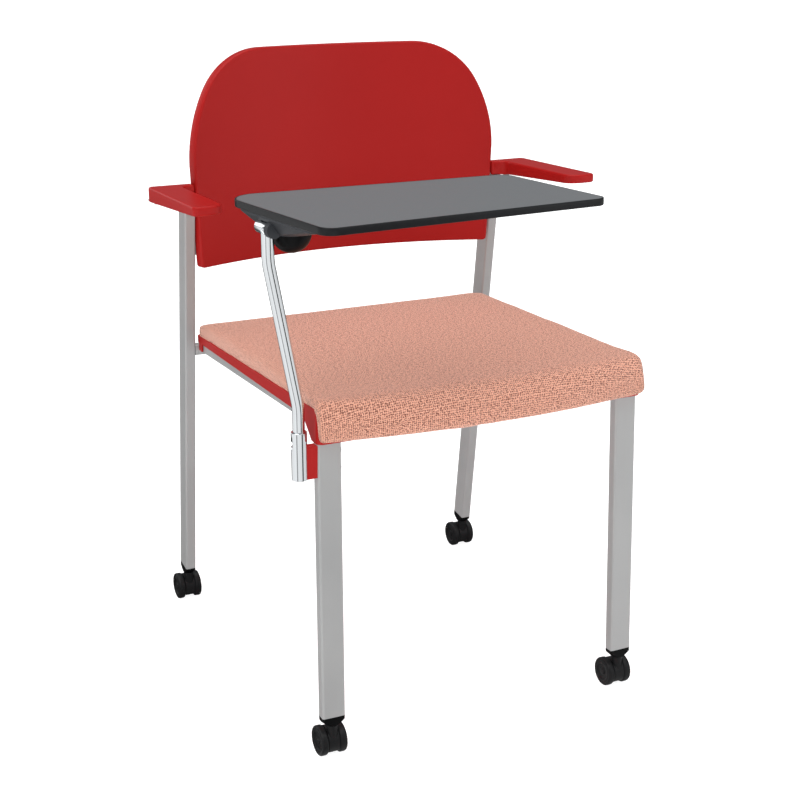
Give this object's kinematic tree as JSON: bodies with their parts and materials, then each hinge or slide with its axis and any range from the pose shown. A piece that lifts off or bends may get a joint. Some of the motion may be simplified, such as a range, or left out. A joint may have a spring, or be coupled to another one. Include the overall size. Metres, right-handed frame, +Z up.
{
  "type": "tablet arm chair",
  "caption": "Stacking-style armchair on twin-wheel casters, with a curved back panel, a padded seat and a writing tablet that swings aside and tips up.",
  "frame": {"origin": "on the floor, under the middle of the chair's outer box", "axes": "+X points to the sitter's left, +Y points to the back panel, +Z is up"},
  "size_m": [0.5778, 0.6632, 0.8238],
  "materials": {
    "frame_paint": "silver-grey paint, satin",
    "red_plastic": "dark red, fine grain, low sheen",
    "seat_fabric": "salmon woven cloth with dark flecks",
    "chrome": "polished",
    "plain_steel": "zinc plated",
    "wheel_plastic": "black nylon",
    "tablet_laminate": "grey laminate, fine speckle",
    "edge_band": "black",
    "housing_plastic": "dark grey, fine grain",
    "black_plastic": "black"
  },
  "bodies": {
    "chair": {"front_leg_left": "frame_paint", "front_leg_right": "frame_paint", "rear_leg_left": "frame_paint", "rear_leg_right": "frame_paint", "side_rail_left": "frame_paint", "side_rail_right": "frame_paint", "front_rail": "frame_paint", "rear_rail": "frame_paint", "seat_shell": "red_plastic", "seat_cushion": "seat_fabric", "seat_screws": "plain_steel", "back_panel": "red_plastic", "back_lugs": "frame_paint", "back_screws": "plain_steel", "arm_left": "red_plastic", "arm_right": "red_plastic", "arm_plates": "frame_paint", "arm_screws": "plain_steel", "leg_cap_front_left": "black_plastic", "leg_cap_front_right": "black_plastic", "leg_cap_rear_left": "black_plastic", "leg_cap_rear_right": "black_plastic", "clamp_block": "red_plastic", "block_screws": "plain_steel", "post_sleeve": "chrome", "sleeve_plug": "black_plastic"},
    "caster_front_left": {"caster_hood_front_left": "black_plastic", "caster_axle_front_left": "plain_steel"},
    "wheel_front_left_outer": {"wheel_front_left_outer": "wheel_plastic"},
    "wheel_front_left_inner": {"wheel_front_left_inner": "wheel_plastic"},
    "caster_front_right": {"caster_hood_front_right": "black_plastic", "caster_axle_front_right": "plain_steel"},
    "wheel_front_right_outer": {"wheel_front_right_outer": "wheel_plastic"},
    "wheel_front_right_inner": {"wheel_front_right_inner": "wheel_plastic"},
    "caster_rear_left": {"caster_hood_rear_left": "black_plastic", "caster_axle_rear_left": "plain_steel"},
    "wheel_rear_left_outer": {"wheel_rear_left_outer": "wheel_plastic"},
    "wheel_rear_left_inner": {"wheel_rear_left_inner": "wheel_plastic"},
    "caster_rear_right": {"caster_hood_rear_right": "black_plastic", "caster_axle_rear_right": "plain_steel"},
    "wheel_rear_right_outer": {"wheel_rear_right_outer": "wheel_plastic"},
    "wheel_rear_right_inner": {"wheel_rear_right_inner": "wheel_plastic"},
    "post": {"tablet_post": "chrome", "stop_pin": "plain_steel", "pivot_tube": "chrome", "pivot_plugs": "chrome"},
    "tablet": {"tablet_housing": "housing_plastic", "housing_dome": "black_plastic", "tablet_board": "tablet_laminate", "tablet_edge": "edge_band", "tablet_screws": "plain_steel"}
  },
  "joints": [
    {"name": "swivel_front_left", "type": "hinge", "parent": "chair", "child": "caster_front_left", "pos_m": [0.20995, -0.20086, 0.0488], "axis": [0, 0, 1], "continuous": true},
    {"name": "roll_front_left_outer", "type": "hinge", "parent": "caster_front_left", "child": "wheel_front_left_outer", "pos_m": [0.22245, -0.19186, 0.0194], "axis": [1, 0, 0], "continuous": true},
    {"name": "roll_front_left_inner", "type": "hinge", "parent": "caster_front_left", "child": "wheel_front_left_inner", "pos_m": [0.19745, -0.19186, 0.0194], "axis": [1, 0, 0], "continuous": true},
    {"name": "swivel_front_right", "type": "hinge", "parent": "chair", "child": "caster_front_right", "pos_m": [-0.20705, -0.20086, 0.0488], "axis": [0, 0, 1], "continuous": true},
    {"name": "roll_front_right_outer", "type": "hinge", "parent": "caster_front_right", "child": "wheel_front_right_outer", "pos_m": [-0.21955, -0.19186, 0.0194], "axis": [1, 0, 0], "continuous": true},
    {"name": "roll_front_right_inner", "type": "hinge", "parent": "caster_front_right", "child": "wheel_front_right_inner", "pos_m": [-0.19455, -0.19186, 0.0194], "axis": [1, 0, 0], "continuous": true},
    {"name": "swivel_rear_left", "type": "hinge", "parent": "chair", "child": "caster_rear_left", "pos_m": [0.23575, 0.30325, 0.0488], "axis": [0, 0, 1], "continuous": true},
    {"name": "roll_rear_left_outer", "type": "hinge", "parent": "caster_rear_left", "child": "wheel_rear_left_outer", "pos_m": [0.24825, 0.31225, 0.0194], "axis": [1, 0, 0], "continuous": true},
    {"name": "roll_rear_left_inner", "type": "hinge", "parent": "caster_rear_left", "child": "wheel_rear_left_inner", "pos_m": [0.22325, 0.31225, 0.0194], "axis": [1, 0, 0], "continuous": true},
    {"name": "swivel_rear_right", "type": "hinge", "parent": "chair", "child": "caster_rear_right", "pos_m": [-0.23285, 0.30325, 0.0488], "axis": [0, 0, 1], "continuous": true},
    {"name": "roll_rear_right_outer", "type": "hinge", "parent": "caster_rear_right", "child": "wheel_rear_right_outer", "pos_m": [-0.24535, 0.31225, 0.0194], "axis": [1, 0, 0], "continuous": true},
    {"name": "roll_rear_right_inner", "type": "hinge", "parent": "caster_rear_right", "child": "wheel_rear_right_inner", "pos_m": [-0.22035, 0.31225, 0.0194], "axis": [1, 0, 0], "continuous": true},
    {"name": "post_swing", "type": "hinge", "parent": "chair", "child": "post", "pos_m": [-0.23852, -0.19066, 0.4], "axis": [0, 0, 1], "range_deg": [-90, 70]},
    {"name": "tablet_tip", "type": "hinge", "parent": "post", "child": "tablet", "pos_m": [-0.2721, -0.19598, 0.672], "axis": [0.1564, -0.9877, 0], "range_deg": [0, 100]}
  ]
}
